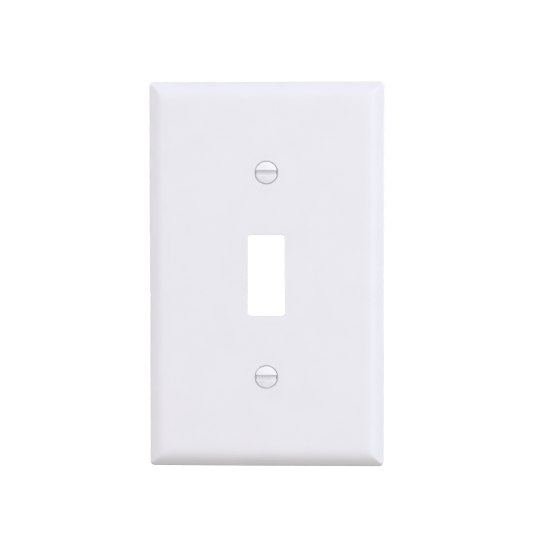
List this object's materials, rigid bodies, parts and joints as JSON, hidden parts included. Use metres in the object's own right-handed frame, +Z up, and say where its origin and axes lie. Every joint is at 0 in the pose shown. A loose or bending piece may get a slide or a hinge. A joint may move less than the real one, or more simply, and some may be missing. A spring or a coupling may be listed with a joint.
{
  "type": "toggle switch wall plate with screws",
  "caption": "Bevelled single-gang wall plate with a toggle window, hollow back and slotted oval-head screws that turn in countersunk holes.",
  "frame": {"origin": "centre of the toggle window, in the plane of the wall behind the plate", "axes": "+Z up the wall, +X to the right seen from the front, +Y into the wall; the face looks towards -Y"},
  "size_m": [0.0698, 0.0136, 0.1142],
  "materials": {
    "white_plastic": "moulded, smooth satin gloss, cool white",
    "painted_screw": "zinc-plated steel, white enamel on the head"
  },
  "bodies": {
    "plate": {"wall_plate": "white_plastic"},
    "upper_screw": {"upper_screw": "painted_screw"},
    "lower_screw": {"lower_screw": "painted_screw"}
  },
  "joints": [
    {"name": "upper_screw_turn", "type": "hinge", "parent": "plate", "child": "upper_screw", "pos_m": [0, 0, 0.03016], "axis": [0, 1, 0], "continuous": true},
    {"name": "lower_screw_turn", "type": "hinge", "parent": "plate", "child": "lower_screw", "pos_m": [0, 0, -0.03016], "axis": [0, 1, 0], "continuous": true}
  ]
}
